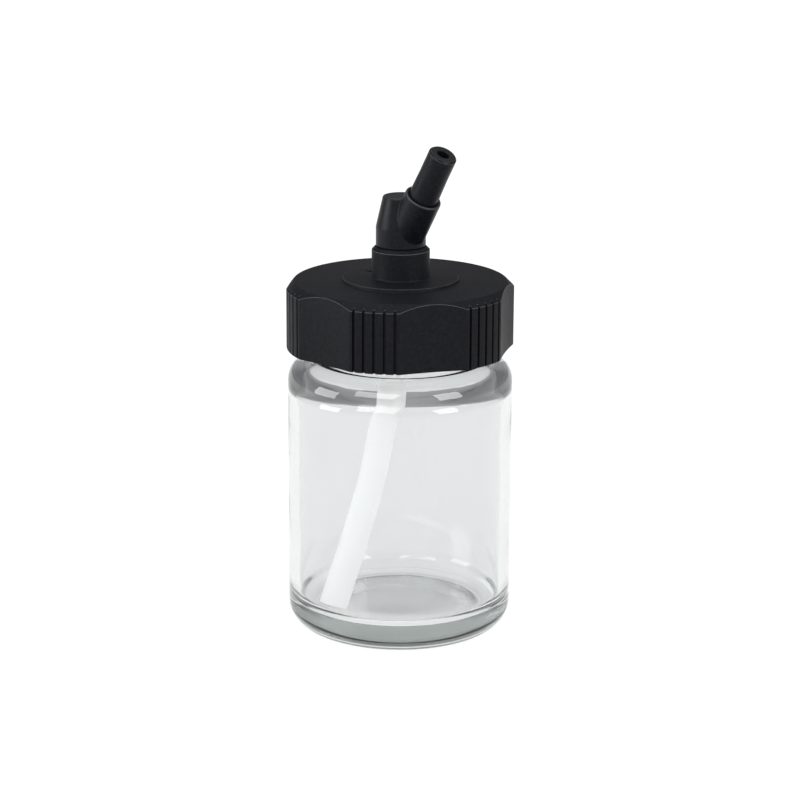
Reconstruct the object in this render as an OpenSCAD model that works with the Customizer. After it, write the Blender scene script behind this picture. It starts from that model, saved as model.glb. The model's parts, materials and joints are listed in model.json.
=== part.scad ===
// Siphon feed jar for an airbrush: a glass jar, a screw lid and a swivelling 30 degree feed stem.
// Millimetres. +Z is up, the origin is the centre of the jar's underside, and +X is to the right.

/* [Jar] */
// Outside diameter of the jar's body
jar_d = 33.8; // [33.0:0.1:34.2]
// Thickness of the side wall
wall_t = 1.65; // [1.2:0.05:2.2]
// Height of the inside floor above the table
floor_z = 3.9; // [3.4:0.1:4.0]
// Radius of the rounded bottom edge
heel_r = 3.8; // [2.6:0.1:4.0]
// Height of the flat top of the shoulder
shoulder_z = 41.8; // [41.0:0.1:42.2]
// Radius of the rounded shoulder
shoulder_r = 3.4; // [2.0:0.1:3.8]
// Height of the lip, the top of the neck
lip_z = 51.2; // [51.0:0.1:51.25]
// Bore of the neck
neck_bore_d = 20.6; // [19.6:0.1:21.0]

/* [Screw thread] */
// Diameter of the neck between its threads
neck_d = 25.5; // [25.3:0.05:25.6]
// Outside diameter of the neck's thread
thread_d = 27.4; // [27.2:0.05:27.5]
// Rise in one turn, 6 turns to the inch
pitch = 4.233; // [4.2:0.001:4.3]
// Turns of thread on the neck
neck_turns = 1.1; // [0.9:0.05:1.15]
// Turns of thread in the cap
cap_turns = 1.0; // [0.8:0.05:1.05]

/* [Cap] */
// Outside diameter over the grip ribs
cap_d = 34.2; // [33.6:0.1:35]
// Height of the open lower edge
cap_z = 43.35; // [43.2:0.05:43.6]
// Height of the flat top
cap_top_z = 53.6; // [53.4:0.1:54]
// Width of the sloping band round the top
cap_bevel = 1.15; // [0.6:0.05:1.4]
// Depth of each hollow between two groups of ribs
hollow_depth = 1.0; // [0.85:0.05:1.2]
// Angle that each hollow spans
hollow_span = 35; // [30:1:38]
// Number of rib groups
groups = 6; // [6]
// Grooves in one group
grooves = 5; // [4:1:5]
// Angle between two grooves
groove_step = 5.2; // [4.6:0.1:5.3]
// Width of a groove
groove_w = 0.4; // [0.3:0.05:0.6]
// Depth of a groove
groove_depth = 0.4; // [0.3:0.05:0.6]
// Direction of the front rib group, clockwise from the front
group_turn = -13; // [-30:1:30]

/* [Collar] */
// Diameter of the raised disc
disc_d = 17.4; // [16:0.1:18]
// Height of the raised disc's face
disc_z = 54.1; // [53.9:0.1:54.2]
// Diameter of the collar
collar_d = 8.68; // [8.6:0.02:9.2]
// Height of the collar's top face
collar_z = 58.8; // [58:0.1:58.9]
// Width of the collar's top chamfer
collar_chamfer = 0.5; // [0.3:0.05:0.6]
// Diameter of the air vent
vent_d = 1.0; // [0.8:0.1:1.2]
// Distance of the air vent from the axis
vent_at = 6.0; // [5.6:0.1:6.4]
// Direction of the air vent, anticlockwise from +X
vent_turn = 140; // [100:5:180]

/* [Feed stem] */
// Diameter of the post
post_d = 7.46; // [7.4:0.02:7.6]
// Height at which the post starts to taper
post_break_z = 61.8; // [61:0.1:63]
// Height of the post's flat top
post_top_z = 66.45; // [66:0.05:66.8]
// Diameter of the post's flat top
post_top_d = 5.36; // [5.0:0.02:6.0]
// Lean of the feed socket from upright
feed_lean = 30; // [28:1:32]
// Direction of the feed socket, anticlockwise from +X
feed_turn = -45; // [-60:5:-30]
// Height at which the socket's axis meets the post's axis
feed_z = 58.7; // [58.6:0.1:59.0]
// Diameter of the feed socket
socket_d = 5.56; // [5.5:0.02:5.8]
// Distance of the socket's rim along its axis
socket_l = 9.35; // [9.2:0.05:9.8]
// Distance of the tip's end along the same axis
tip_l = 17.3; // [17:0.1:18.0]
// Diameter of the tip's straight land, which plugs into the gun
tip_d = 4.26; // [4.2:0.02:4.34]
// Diameter of the tip where it sits in the socket
tip_root_d = 4.46; // [4.44:0.02:4.6]
// Bore that the paint is drawn through
feed_bore_d = 1.8; // [1.4:0.1:1.9]

/* [Dip tube] */
// Outside diameter of the tube
tube_d = 4.15; // [4.1:0.05:4.4]
// Bore of the tube
tube_bore_d = 2.6; // [2.4:0.05:2.7]
// Lean of the tube's upper run from upright
tube_lean_top = 13.5; // [12:0.5:15]
// Lean of the tube's lower run from upright
tube_lean = 20.7; // [19:0.1:21]
// Direction in which the tube leans, anticlockwise from +X
tube_turn = 216; // [200:1:235]
// Height at which the upright end would meet the upper run
tube_knee_z = 44.6; // [44.2:0.1:44.8]
// Radius of the bend under the nipple
tube_bend_r = 14; // [12:1:15]
// Height at which the two leaning runs would meet
tube_sag_z = 22.3; // [21:0.1:24]
// Radius of the slow bend between the two leaning runs
tube_sag_r = 80; // [60:5:90]
// Height of the centre of the tube's lower end
tube_end_z = 4.85; // [4.8:0.05:6]

/* [Hidden] */
$fn = 96;

BLACK = [0.13, 0.135, 0.15];
GLASS = [0.80, 0.88, 0.84, 0.35];
MILKY = [0.93, 0.94, 0.93, 0.75];
eps = 0.02;

// Jar
jar_r = jar_d / 2;
inner_r = jar_r - wall_t;
neck_r = neck_d / 2;
neck_bore_r = neck_bore_d / 2;
punt_h = 0.9;
bearing_r = 12.2;
floor_dome = 0.25;
floor_corner_r = 2.4;
under_shoulder_z = shoulder_z - 1.5;
neck_root_r = 0.8;
inner_shoulder_r = min(3.9, inner_r - neck_bore_r - neck_root_r);
lip_r = 0.5;

// Threads: the cap's thread sits just under the neck's thread
thread_r = thread_d / 2;
thread_sink = 0.3;
thread_steps = 36;
thread_fade = 35;
neck_thread_base = 2.2;
neck_thread_crest = 0.9;
cap_thread_base = 2.0;
cap_thread_crest = 0.8;
thread_gap = 1.5;
neck_thread_z = lip_z - 2.1 - pitch * neck_turns;
cap_thread_turn = 0.38;
cap_thread_z = neck_thread_z - thread_gap + pitch * cap_thread_turn;
cap_bore_r = thread_r + 0.3;
cap_thread_r = neck_r + 0.3;

// Cap
cap_r = cap_d / 2;
ceiling_z = 52.1;
mouth_chamfer = 0.4;
half_chord = cap_r * sin(hollow_span / 2);
sagitta = cap_r * cos(hollow_span / 2) - (cap_r - hollow_depth);
hollow_r = (half_chord * half_chord + sagitta * sagitta) / (2 * sagitta);
hollow_at = cap_r - hollow_depth + hollow_r;

// Liner: a flat ring between the cap's ceiling and the lip
liner_z = lip_z + 0.05;
liner_t = 0.8;
liner_r = 13.4;
liner_hole_r = 9.2;

// Feed stem
spigot_r = 2.5;
spigot_clearance = 0.06;
seat_gap = 0.1;
groove_r = 2.1;
ring_groove_z = 51.25;
ring_groove_top_z = 51.98;
spigot_end_z = 50.3;
nipple_r = tube_bore_d / 2;
nipple_end_z = 46.4;
barb_r = nipple_r + 0.08;
barb_h = 1.3;
post_edge = 0.3;
feed_bore_r = feed_bore_d / 2;
riser_r = feed_bore_r + 0.1;
riser_over = 0.8;
socket_r = socket_d / 2;
socket_root_l = 1.95;
socket_floor_l = 5.0;
socket_chamfer = 0.2;
socket_countersink = 0.25;
tip_root_r = tip_root_d / 2;
tip_r = tip_d / 2;
tip_land_l = 4.0;
tip_chamfer = 0.3;
plug_fit = 0.01;

// Retaining ring
ring_r = 4.2;
ring_hole_r = groove_r + 0.02;
ring_t = 0.65;

// Dip tube
tube_r = tube_d / 2;
tube_top_z = 50.2;
bend_run = tube_bend_r * tan(tube_lean_top / 2);
sag_run = tube_sag_r * tan((tube_lean - tube_lean_top) / 2);
sag_at = [(tube_knee_z - tube_sag_z) * tan(tube_lean_top), tube_sag_z];
sag_start = sag_at - sag_run * [sin(tube_lean_top), -cos(tube_lean_top)];
bend_steps = 6;
tube_sides = 28;

// Points of a circular arc about c, from angle a0 to angle a1
function arc(c, r, a0, a1, n = 8) =
    [for (i = [0:n]) c + r * [cos(a0 + (a1 - a0) * i / n), sin(a0 + (a1 - a0) * i / n)]];

// Half of the jar's section, from the middle of the underside round to the middle of the floor
jar_outline = concat(
    [[0, punt_h], [bearing_r - 1.5, punt_h * 0.6], [bearing_r, 0]],
    arc([jar_r - heel_r, heel_r], heel_r, -90, 0),
    arc([jar_r - shoulder_r, shoulder_z - shoulder_r], shoulder_r, 0, 90),
    arc([neck_r + neck_root_r, shoulder_z + neck_root_r], neck_root_r, 270, 180, 4),
    arc([neck_r - lip_r, lip_z - lip_r], lip_r, 0, 90, 4),
    arc([neck_bore_r + lip_r, lip_z - lip_r], lip_r, 90, 180, 4),
    arc([neck_bore_r + neck_root_r, under_shoulder_z + neck_root_r], neck_root_r, 180, 270, 4),
    arc([inner_r - inner_shoulder_r, under_shoulder_z - inner_shoulder_r], inner_shoulder_r, 90, 0),
    arc([inner_r - floor_corner_r, floor_z + floor_corner_r], floor_corner_r, 0, -90),
    [[0, floor_z + floor_dome]]
);

// Half of the stem's upright part, from the nipple's end up to the post's flat top
post_outline = [
    [0, nipple_end_z],
    [nipple_r - 0.15, nipple_end_z],
    [barb_r, nipple_end_z + barb_h],
    [nipple_r, nipple_end_z + barb_h],
    [nipple_r, spigot_end_z],
    [spigot_r - 0.35, spigot_end_z],
    [spigot_r - 0.05, spigot_end_z + 0.4],
    [spigot_r - 0.05, ring_groove_z],
    [groove_r, ring_groove_z],
    [groove_r, ring_groove_top_z],
    [spigot_r, ring_groove_top_z],
    [spigot_r, collar_z + seat_gap],
    [post_d / 2 - 0.1, collar_z + seat_gap],
    [post_d / 2, collar_z + seat_gap + 0.1],
    [post_d / 2, post_break_z],
    [post_top_d / 2 + 0.05, post_top_z - post_edge],
    [post_top_d / 2 - post_edge, post_top_z],
    [0, post_top_z]
];

// Half of the feed socket's outside, measured along its own axis; its root lies inside the post
socket_outline = [
    [0, socket_root_l],
    [socket_r, socket_root_l],
    [socket_r, socket_l - socket_chamfer],
    [socket_r - socket_chamfer, socket_l],
    [0, socket_l]
];

// Half of the space for the tip: a plain bore that opens into a countersink at the rim
socket_mouth_outline = [
    [0, socket_floor_l],
    [tip_root_r + plug_fit, socket_floor_l],
    [tip_root_r + plug_fit, socket_l - socket_countersink],
    [tip_root_r + plug_fit + 2 * socket_countersink, socket_l + socket_countersink],
    [0, socket_l + socket_countersink]
];

// Half of the tip's section, measured along the socket's axis
tip_outline = [
    [feed_bore_r, socket_floor_l],
    [tip_root_r, socket_floor_l],
    [tip_root_r, socket_l],
    [tip_r, tip_l - tip_land_l],
    [tip_r, tip_l - tip_chamfer],
    [tip_r - tip_chamfer, tip_l],
    [feed_bore_r, tip_l]
];

// One ring of a thread's section at step i of n, with the crest run out at both ends
function thread_ring(i, n, turns, root, crest, base_w, crest_w) =
    let (
        a = 360 * turns * i / n,
        rise = min(1, 0.04 + a / thread_fade, 0.04 + (360 * turns - a) / thread_fade),
        tip = root + (crest - root) * rise,
        z = pitch * a / 360
    ) [
        [root * cos(a), root * sin(a), z - base_w / 2],
        [tip * cos(a), tip * sin(a), z - crest_w / 2],
        [tip * cos(a), tip * sin(a), z + crest_w / 2],
        [root * cos(a), root * sin(a), z + base_w / 2]
    ];

// A helical ridge that climbs anticlockwise; it points outward when crest is larger than root
module thread(turns, root, crest, base_w, crest_w) {
    n = round(thread_steps * turns);
    points = [for (i = [0:n]) each thread_ring(i, n, turns, root, crest, base_w, crest_w)];
    sides = [for (i = [0:n - 1], j = [0:3])
        let (a = 4 * i + j, b = 4 * i + (j + 1) % 4, c = a + 4, d = b + 4)
        each [[a, b, c], [b, d, c]]];
    ends = [[3, 2, 1], [3, 1, 0], [4 * n, 4 * n + 1, 4 * n + 2], [4 * n, 4 * n + 2, 4 * n + 3]];
    faces = concat(sides, ends);
    flipped = [for (f = faces) [f[2], f[1], f[0]]];
    polyhedron(points = points, faces = crest > root ? faces : flipped);
}

// Places its children on the feed socket's axis
module on_feed_axis() {
    translate([0, 0, feed_z])
        rotate([0, feed_lean, feed_turn])
            children();
}

module glass_jar() {
    color(GLASS) {
        rotate_extrude()
            polygon(jar_outline);
        translate([0, 0, neck_thread_z])
            thread(neck_turns, neck_r - thread_sink, thread_r, neck_thread_base, neck_thread_crest);
    }
}

module lid_liner() {
    color("ivory")
        translate([0, 0, liner_z])
            difference() {
                cylinder(r = liner_r, h = liner_t);
                translate([0, 0, -1])
                    cylinder(r = liner_hole_r, h = liner_t + 2);
            }
}

// Plan of the cap: a circle with shallow hollows, and grooves cut into each rib group
module cap_plan() {
    difference() {
        circle(r = cap_r);
        for (k = [0:groups - 1])
            rotate(-90 + group_turn + k * 360 / groups) {
                rotate(180 / groups)
                    translate([hollow_at, 0])
                        circle(r = hollow_r, $fn = 360);
                for (g = [0:grooves - 1])
                    rotate((g - (grooves - 1) / 2) * groove_step)
                        translate([cap_r - groove_depth, -groove_w / 2])
                            square([groove_depth + 1, groove_w]);
            }
    }
}

// Solid outside of the cap, with the sloping band, the raised disc and the collar
module cap_blank() {
    intersection() {
        translate([0, 0, cap_z])
            linear_extrude(cap_top_z - cap_z)
                cap_plan();
        rotate_extrude()
            polygon([
                [0, cap_z],
                [cap_r + eps, cap_z],
                [cap_r + eps, cap_top_z - cap_bevel],
                [cap_r + eps - cap_bevel, cap_top_z],
                [0, cap_top_z]
            ]);
    }
    translate([0, 0, cap_top_z - 1])
        cylinder(d = disc_d, h = disc_z - cap_top_z + 1);
    rotate_extrude()
        polygon([
            [0, cap_top_z - 1],
            [collar_d / 2, cap_top_z - 1],
            [collar_d / 2, collar_z - collar_chamfer],
            [collar_d / 2 - collar_chamfer, collar_z],
            [0, collar_z]
        ]);
}

module screw_cap() {
    color(BLACK) {
        difference() {
            cap_blank();
            translate([0, 0, cap_z - 1])
                cylinder(r = cap_bore_r, h = ceiling_z - cap_z + 1);
            translate([0, 0, cap_z - eps])
                cylinder(r1 = cap_bore_r + mouth_chamfer, r2 = cap_bore_r, h = mouth_chamfer);
            translate([0, 0, ceiling_z - 1])
                cylinder(r = spigot_r + spigot_clearance, h = collar_z - ceiling_z + 2);
            rotate(vent_turn)
                translate([vent_at, 0, ceiling_z - 1])
                    cylinder(d = vent_d, h = disc_z - ceiling_z + 2);
        }
        translate([0, 0, cap_thread_z])
            rotate(360 * cap_thread_turn)
                thread(cap_turns, cap_bore_r + thread_sink, cap_thread_r, cap_thread_base, cap_thread_crest);
    }
}

module feed_elbow() {
    color(BLACK)
        difference() {
            union() {
                rotate_extrude()
                    polygon(post_outline);
                on_feed_axis()
                    rotate_extrude()
                        polygon(socket_outline);
            }
            translate([0, 0, nipple_end_z - 1])
                cylinder(r = riser_r, h = feed_z - nipple_end_z + 1 + riser_over);
            on_feed_axis()
                cylinder(r = feed_bore_r, h = socket_floor_l + 1);
            on_feed_axis()
                rotate_extrude()
                    polygon(socket_mouth_outline);
        }
}

module retaining_ring() {
    color([0.75, 0.75, 0.74])
        translate([0, 0, ring_groove_z + eps])
            difference() {
                cylinder(r = ring_r, h = ring_t);
                translate([0, 0, -1])
                    cylinder(r = ring_hole_r, h = ring_t + 2);
            }
}

module feed_tip() {
    color(BLACK)
        on_feed_axis()
            rotate_extrude()
                polygon(tip_outline);
}

// One ring of points of radius r about the tube's centreline, at station s = [x, z, lean]
function tube_ring(s, r) =
    [for (k = [0:tube_sides - 1])
        let (a = 360 * k / tube_sides)
        [s[0] + r * cos(a) * cos(s[2]), r * sin(a), s[1] + r * cos(a) * sin(s[2])]];

// Stations of a bend that starts at p and takes the lean from a0 to a1
function tube_bend(p, r, a0, a1) =
    [for (i = [0:bend_steps])
        let (a = a0 + (a1 - a0) * i / bend_steps)
        [p[0] + r * (cos(a0) - cos(a)), p[1] + r * (sin(a0) - sin(a)), a]];

// Stations down the centreline: the upright end, the bend under it, the slow bend, the lower end
tube_stations = concat(
    [[0, tube_top_z, 0]],
    tube_bend([0, tube_knee_z + bend_run], tube_bend_r, 0, tube_lean_top),
    tube_bend(sag_start, tube_sag_r, tube_lean_top, tube_lean),
    [[sag_at[0] + (tube_sag_z - tube_end_z) * tan(tube_lean), tube_end_z, tube_lean]]
);

// Wall of the tube: the outer skin, then the bore, closed by a flat ring at each end
module tube_wall() {
    rows = len(tube_stations);
    bore = rows * tube_sides;
    points = concat(
        [for (s = tube_stations) each tube_ring(s, tube_r)],
        [for (s = tube_stations) each tube_ring(s, tube_bore_d / 2)]
    );
    skin = [for (i = [0:rows - 2], k = [0:tube_sides - 1])
        let (a = i * tube_sides + k, b = i * tube_sides + (k + 1) % tube_sides)
        each [[a, b, a + tube_sides], [b, b + tube_sides, a + tube_sides]]];
    lining = [for (f = skin) [bore + f[2], bore + f[1], bore + f[0]]];
    last = (rows - 1) * tube_sides;
    rings = [for (k = [0:tube_sides - 1])
        let (j = (k + 1) % tube_sides)
        each [
            [k, bore + k, j], [j, bore + k, bore + j],
            [last + k, last + j, bore + last + k], [last + j, bore + last + j, bore + last + k]
        ]];
    polyhedron(points = points, faces = concat(skin, lining, rings));
}

module dip_tube() {
    color(MILKY)
        rotate(tube_turn)
            tube_wall();
}

glass_jar();
lid_liner();
screw_cap();
feed_elbow();
retaining_ring();
feed_tip();
dip_tube();
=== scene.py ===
"""Looks of a siphon feed paint jar: glass jar, ribbed screw cap, swivelling feed stem and dip tube.

The mesh code works in millimetres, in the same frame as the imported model, and each piece is scaled
to metres when it is handed over.
"""

import json
import math

import bmesh
import bpy
from bpy.props import FloatProperty, FloatVectorProperty, IntProperty, PointerProperty
from bpy.types import Operator, Panel, PropertyGroup
from mathutils import Matrix, Vector, noise


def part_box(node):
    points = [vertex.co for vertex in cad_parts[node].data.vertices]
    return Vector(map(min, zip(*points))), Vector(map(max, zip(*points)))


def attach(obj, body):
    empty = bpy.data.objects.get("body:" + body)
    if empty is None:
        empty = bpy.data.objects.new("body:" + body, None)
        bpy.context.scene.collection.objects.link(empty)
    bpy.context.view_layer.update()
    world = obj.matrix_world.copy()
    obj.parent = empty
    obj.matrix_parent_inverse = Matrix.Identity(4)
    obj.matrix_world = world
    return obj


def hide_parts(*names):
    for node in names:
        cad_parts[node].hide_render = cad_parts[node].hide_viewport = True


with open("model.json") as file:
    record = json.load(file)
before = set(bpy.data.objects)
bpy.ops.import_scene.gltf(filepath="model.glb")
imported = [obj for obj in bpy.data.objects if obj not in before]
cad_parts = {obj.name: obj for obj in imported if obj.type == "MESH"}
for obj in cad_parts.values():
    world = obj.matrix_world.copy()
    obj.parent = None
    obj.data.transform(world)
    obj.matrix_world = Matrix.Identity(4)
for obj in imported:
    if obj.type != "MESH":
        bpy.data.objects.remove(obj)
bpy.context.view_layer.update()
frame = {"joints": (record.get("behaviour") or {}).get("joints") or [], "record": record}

bl_info = {
    "name": "Siphon Feed Paint Jar",
    "version": (1, 0, 0),
    "blender": (4, 5, 0),
    "location": "View3D > Sidebar > Paint Jar",
    "description": "Builds the glass, cap, feed stem and dip tube of a siphon feed paint jar",
    "category": "Object",
}

MM = 0.001
EDGE = "edge"


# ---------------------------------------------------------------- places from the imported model

def span_mm(node):
    """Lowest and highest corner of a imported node, in millimetres."""
    low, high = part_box(node)
    return Vector(low) / MM, Vector(high) / MM


def joint_place_mm(name):
    """Point on a joint's axis, in millimetres."""
    joint = next(j for j in frame["joints"] if j["name"] == name)
    return Vector(joint["pos_m"]) / MM


def mount(name):
    """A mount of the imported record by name."""
    return next(m for m in frame["record"]["mounts"] if m["name"] == name)


JAR_HIGH = span_mm("glass_jar")[1]
CAP_LOW, CAP_HIGH = span_mm("screw_cap")
LINER_LOW, LINER_HIGH = span_mm("lid_liner")
RING_LOW, RING_HIGH = span_mm("retaining_ring")
ELBOW_LOW = span_mm("feed_elbow")[0]
TUBE_HIGH = span_mm("dip_tube")[1]
UP = Vector((0, 0, 1))
FEED_START = joint_place_mm("stem_swivel")
TIP_PLUG = mount("feed_tip_plug")
FEED_AXIS = Vector(TIP_PLUG["axis"]).normalized()
TIP_RADIUS = TIP_PLUG["dims"]["r_mm"]
TIP_MIDDLE = (Vector(TIP_PLUG["pos_m"]) / MM - FEED_START).length
TIP_LAND = TIP_PLUG["dims"]["length_mm"]
FEED_BORE = mount("feed_tip_bore")["dims"]["r_mm"]
LIFT = next(c for c in frame["record"]["behaviour"]["couplings"] if c["joint"] == "lid_lift")
PITCH = LIFT["ratio"] * 2 * math.pi / MM


# ---------------------------------------------------------------- settings

def length(name, text, mm):
    """A length setting whose default is given in millimetres."""
    return FloatProperty(
        name=name, description=text, default=mm * MM, min=0, precision=5, unit="LENGTH")


def angle(name, text, degrees):
    """An angle setting whose default is given in degrees."""
    return FloatProperty(
        name=name, description=text, default=math.radians(degrees), subtype="ANGLE")


def colour(name, text, value):
    """A colour setting."""
    return FloatVectorProperty(
        name=name, description=text, default=value, size=3, min=0, max=1, subtype="COLOR")


class JarSettings(PropertyGroup):
    radius: length("Radius", "Outside radius of the jar's body", JAR_HIGH.x)
    lip: length("Lip height", "Height of the top of the neck", JAR_HIGH.z)
    wall: length("Wall", "Thickness of the side wall", 1.65)
    floor: length("Floor height", "Height of the inside floor", 3.9)
    floor_corner: length("Floor corner", "Radius of the inside corner at the floor", 2.4)
    heel: length("Heel", "Radius of the rounded bottom edge", 3.8)
    shoulder: length("Shoulder height", "Height of the flat top of the shoulder", 41.8)
    shoulder_radius: length("Shoulder radius", "Radius of the rounded shoulder", 3.4)
    shoulder_glass: length("Shoulder glass", "Thickness of the glass in the shoulder", 1.5)
    neck: length("Neck radius", "Radius of the neck between its threads", 12.75)
    thread: length("Thread radius", "Outside radius of the neck's thread", 13.7)
    bore: length("Bore radius", "Radius of the neck's bore", 10.3)
    punt: length("Punt", "Height of the hollow under the jar", 0.9)
    ripple: length("Ripple", "Depth of the moulding ripple on the inside of the glass", 0.035)
    film: colour("Film", "Colour of light that has passed through one wall", (0.86, 0.865, 0.87))
    tint: colour("Tint", "Colour of light that has passed through thick glass", (0.74, 0.82, 0.79))
    absorption: FloatProperty(
        name="Absorption", description="How fast thick glass takes up its tint, per metre",
        default=34.0, min=0)


class CapSettings(PropertyGroup):
    radius: length("Radius", "Radius over the grip ribs", CAP_HIGH.y)
    low: length("Lower edge", "Height of the open lower edge", CAP_LOW.z)
    top: length("Top", "Height of the flat top", 53.6)
    bevel: length("Bevel", "Width of the sloping band round the top", 1.15)
    hollow: length("Hollow depth", "Depth of each hollow between two groups of ribs", 1.0)
    hollow_span: angle("Hollow span", "Angle that each hollow spans", 35)
    groups: IntProperty(
        name="Rib groups", description="Number of rib groups round the cap", default=6, min=2)
    grooves: IntProperty(name="Grooves", description="Grooves in one rib group", default=5, min=1)
    groove_step: angle("Groove step", "Angle between two grooves", 5.2)
    groove_width: length("Groove width", "Width of a groove", 0.4)
    groove_depth: length("Groove depth", "Depth of a groove", 0.4)
    group_turn: angle("Group turn", "Direction of the front rib group, anticlockwise from +X", -103)
    disc_radius: length("Disc radius", "Radius of the raised disc", 8.7)
    disc: length("Disc height", "Height of the raised disc's face", 54.1)
    collar_radius: length("Collar radius", "Outside radius of the collar", 4.34)
    collar: length("Collar top", "Height of the collar's top face", CAP_HIGH.z)
    collar_chamfer: length("Collar chamfer", "Width of the collar's top chamfer", 0.5)
    ceiling: length("Ceiling", "Height of the cap's inside ceiling", 52.1)
    bore: length("Bore radius", "Radius of the cap's bore outside its thread", 14.0)
    thread: length("Thread radius", "Radius at the crest of the cap's thread", 13.05)
    spigot_bore: length("Spigot bore", "Radius of the collar's bore", 2.56)
    vent_radius: length("Vent radius", "Radius of the air vent", 0.5)
    vent_place: length("Vent place", "Distance of the air vent from the axis", 6.0)
    vent_turn: angle("Vent turn", "Direction of the air vent, anticlockwise from +X", 140)
    shade: colour("Colour", "Colour of the cap's plastic", (0.0028, 0.0030, 0.0040))


class StemSettings(PropertyGroup):
    post_radius: length("Post radius", "Radius of the upright post", 3.73)
    post_break: length("Post break", "Height at which the post starts to taper", 61.8)
    post_top: length("Post top", "Height of the post's flat top", 66.45)
    post_top_radius: length("Post top radius", "Radius of the post's flat top", 2.68)
    spigot: length("Spigot radius", "Radius of the part that turns in the collar", 2.5)
    spigot_end: length("Spigot end", "Height of the spigot's lower end", 50.3)
    nipple: length("Nipple radius", "Radius of the nipple that the tube is pushed on", 1.3)
    nipple_end: length("Nipple end", "Height of the nipple's lower end", ELBOW_LOW.z)
    socket_radius: length("Socket radius", "Outside radius of the feed socket", 2.78)
    socket_root: length("Socket root", "Distance of the socket's hidden root along its axis", 1.95)
    socket_length: length("Socket length", "Distance of the socket's rim along its axis", 9.35)
    socket_floor: length("Socket floor", "Distance of the socket's inner end along its axis", 5.0)
    tip_root: length("Tip root radius", "Radius of the tip where it sits in the socket", 2.23)
    voxel: length("Voxel", "Grain of the mesh that blends the post into the socket", 0.085)
    shade: colour("Colour", "Colour of the stem's plastic", (0.0026, 0.0028, 0.0038))


class TubeSettings(PropertyGroup):
    radius: length("Radius", "Outside radius of the dip tube", 2.075)
    bore: length("Bore radius", "Radius of the tube's bore", 1.3)
    top: length("Top", "Height of the tube's upper end", TUBE_HIGH.z)
    lean_top: angle("Upper lean", "Lean of the tube's upper run from upright", 13.5)
    lean: angle("Lower lean", "Lean of the tube's lower run from upright", 20.7)
    turn: angle("Turn", "Direction in which the tube leans, anticlockwise from +X", 216)
    knee: length("Knee", "Height at which the upright end would meet the upper run", 44.6)
    bend: length("Bend", "Radius of the bend under the nipple", 14.0)
    sag: length("Sag", "Height at which the two leaning runs would meet", 22.3)
    sag_bend: length("Sag bend", "Radius of the slow bend between the two leaning runs", 80.0)
    end: length("End", "Height of the centre of the tube's lower end", 4.85)
    sides: IntProperty(name="Sides", description="Points round the tube", default=48, min=12)
    shade: colour("Colour", "Colour of the tube's plastic", (0.93, 0.935, 0.93))


class StageSettings(PropertyGroup):
    distance: length("Camera distance", "Distance of the camera from the middle of the jar", 400.0)
    middle: length("Middle", "Height that the camera circles", 40.0)
    aim: length("Aim", "Height that the camera looks at", 35.0)
    elevation: angle("Elevation", "Height of the camera above the horizon", 14.7)
    roll: angle("Roll", "Lean of the camera", 0.3)
    view: angle("View angle", "Angle that the picture spans", 17.13)
    floor_radius: length("Floor radius", "Radius of the round floor", 3000.0)
    floor_shade: colour("Floor", "Colour of the floor", (0.12, 0.12, 0.12))
    floor_glow: FloatProperty(
        name="Floor glow", description="Light that comes up through the floor", default=0.93, min=0)


# ---------------------------------------------------------------- shader nodes

class Value:
    """A socket in a shader, so that shader maths reads as a Python expression."""

    def __init__(self, shader, socket):
        self.shader = shader
        self.socket = socket

    def maths(self, operation, *values):
        """The result of a Math node."""
        return self.shader.add("ShaderNodeMath", {"operation": operation}, dict(enumerate(values)))

    def __add__(self, other):
        return self.maths("ADD", self, other)

    __radd__ = __add__

    def __sub__(self, other):
        return self.maths("SUBTRACT", self, other)

    def __rsub__(self, other):
        return self.maths("SUBTRACT", other, self)

    def __mul__(self, other):
        return self.maths("MULTIPLY", self, other)

    __rmul__ = __mul__

    def clamped(self):
        """The value kept between 0 and 1."""
        return self.maths("MINIMUM", self.maths("MAXIMUM", self, 0.0), 1.0)


class Shader:
    """A material, or the world, made of nodes."""

    def __init__(self, owner):
        owner.use_nodes = True
        self.tree = owner.node_tree
        self.tree.nodes.clear()

    def add(self, kind, settings=None, values=None, out=0):
        """Adds a node: its settings, then the values or links of its sockets. Returns one output."""
        node = self.tree.nodes.new(kind)
        for key, value in (settings or {}).items():
            if key == "stops":
                self._set_stops(node.color_ramp, value)
            else:
                setattr(node, key, value)
        for key, value in (values or {}).items():
            if isinstance(value, Value):
                self.tree.links.new(value.socket, node.inputs[key])
            else:
                node.inputs[key].default_value = value
        return Value(self, node.outputs[out]) if node.outputs else node

    @staticmethod
    def _set_stops(ramp, stops):
        """Gives a colour ramp its stops, each a place and a colour."""
        while len(ramp.elements) < len(stops):
            ramp.elements.new(1.0)
        for element, (place, shade) in zip(ramp.elements, stops):
            element.position = place
            element.color = shade

    def mix(self, amount, first, second):
        """A colour between two others."""
        settings = {"data_type": "RGBA", "clamp_factor": True}
        return self.add("ShaderNodeMix", settings, {0: amount, 6: first, 7: second}, out=2)

    def noise(self, scale, detail=2.0, rough=0.5, stretch=(1, 1, 1)):
        """Noise in the piece's own space, with scale in cells per metre."""
        place = self.add("ShaderNodeTexCoord", out="Object")
        mapped = self.add("ShaderNodeMapping", {}, {"Vector": place, "Scale": stretch})
        values = {"Vector": mapped, "Scale": scale, "Detail": detail, "Roughness": rough}
        return self.add("ShaderNodeTexNoise", {}, values)

    def bump(self, height, strength, distance):
        """A normal that follows a height."""
        values = {"Height": height, "Strength": strength, "Distance": distance}
        return self.add("ShaderNodeBump", {}, values)

    def edge(self):
        """The mark that the mesh code keeps on each point."""
        return self.add("ShaderNodeAttribute", {"attribute_name": EDGE}, out="Fac")

    def finish(self, surface, volume=None):
        """Joins the shader to the output."""
        links = {"Surface": surface}
        if volume is not None:
            links["Volume"] = volume
        self.add("ShaderNodeOutputMaterial", {}, links)


def rgba(value):
    """A colour with full alpha."""
    return (*value, 1.0)


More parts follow.
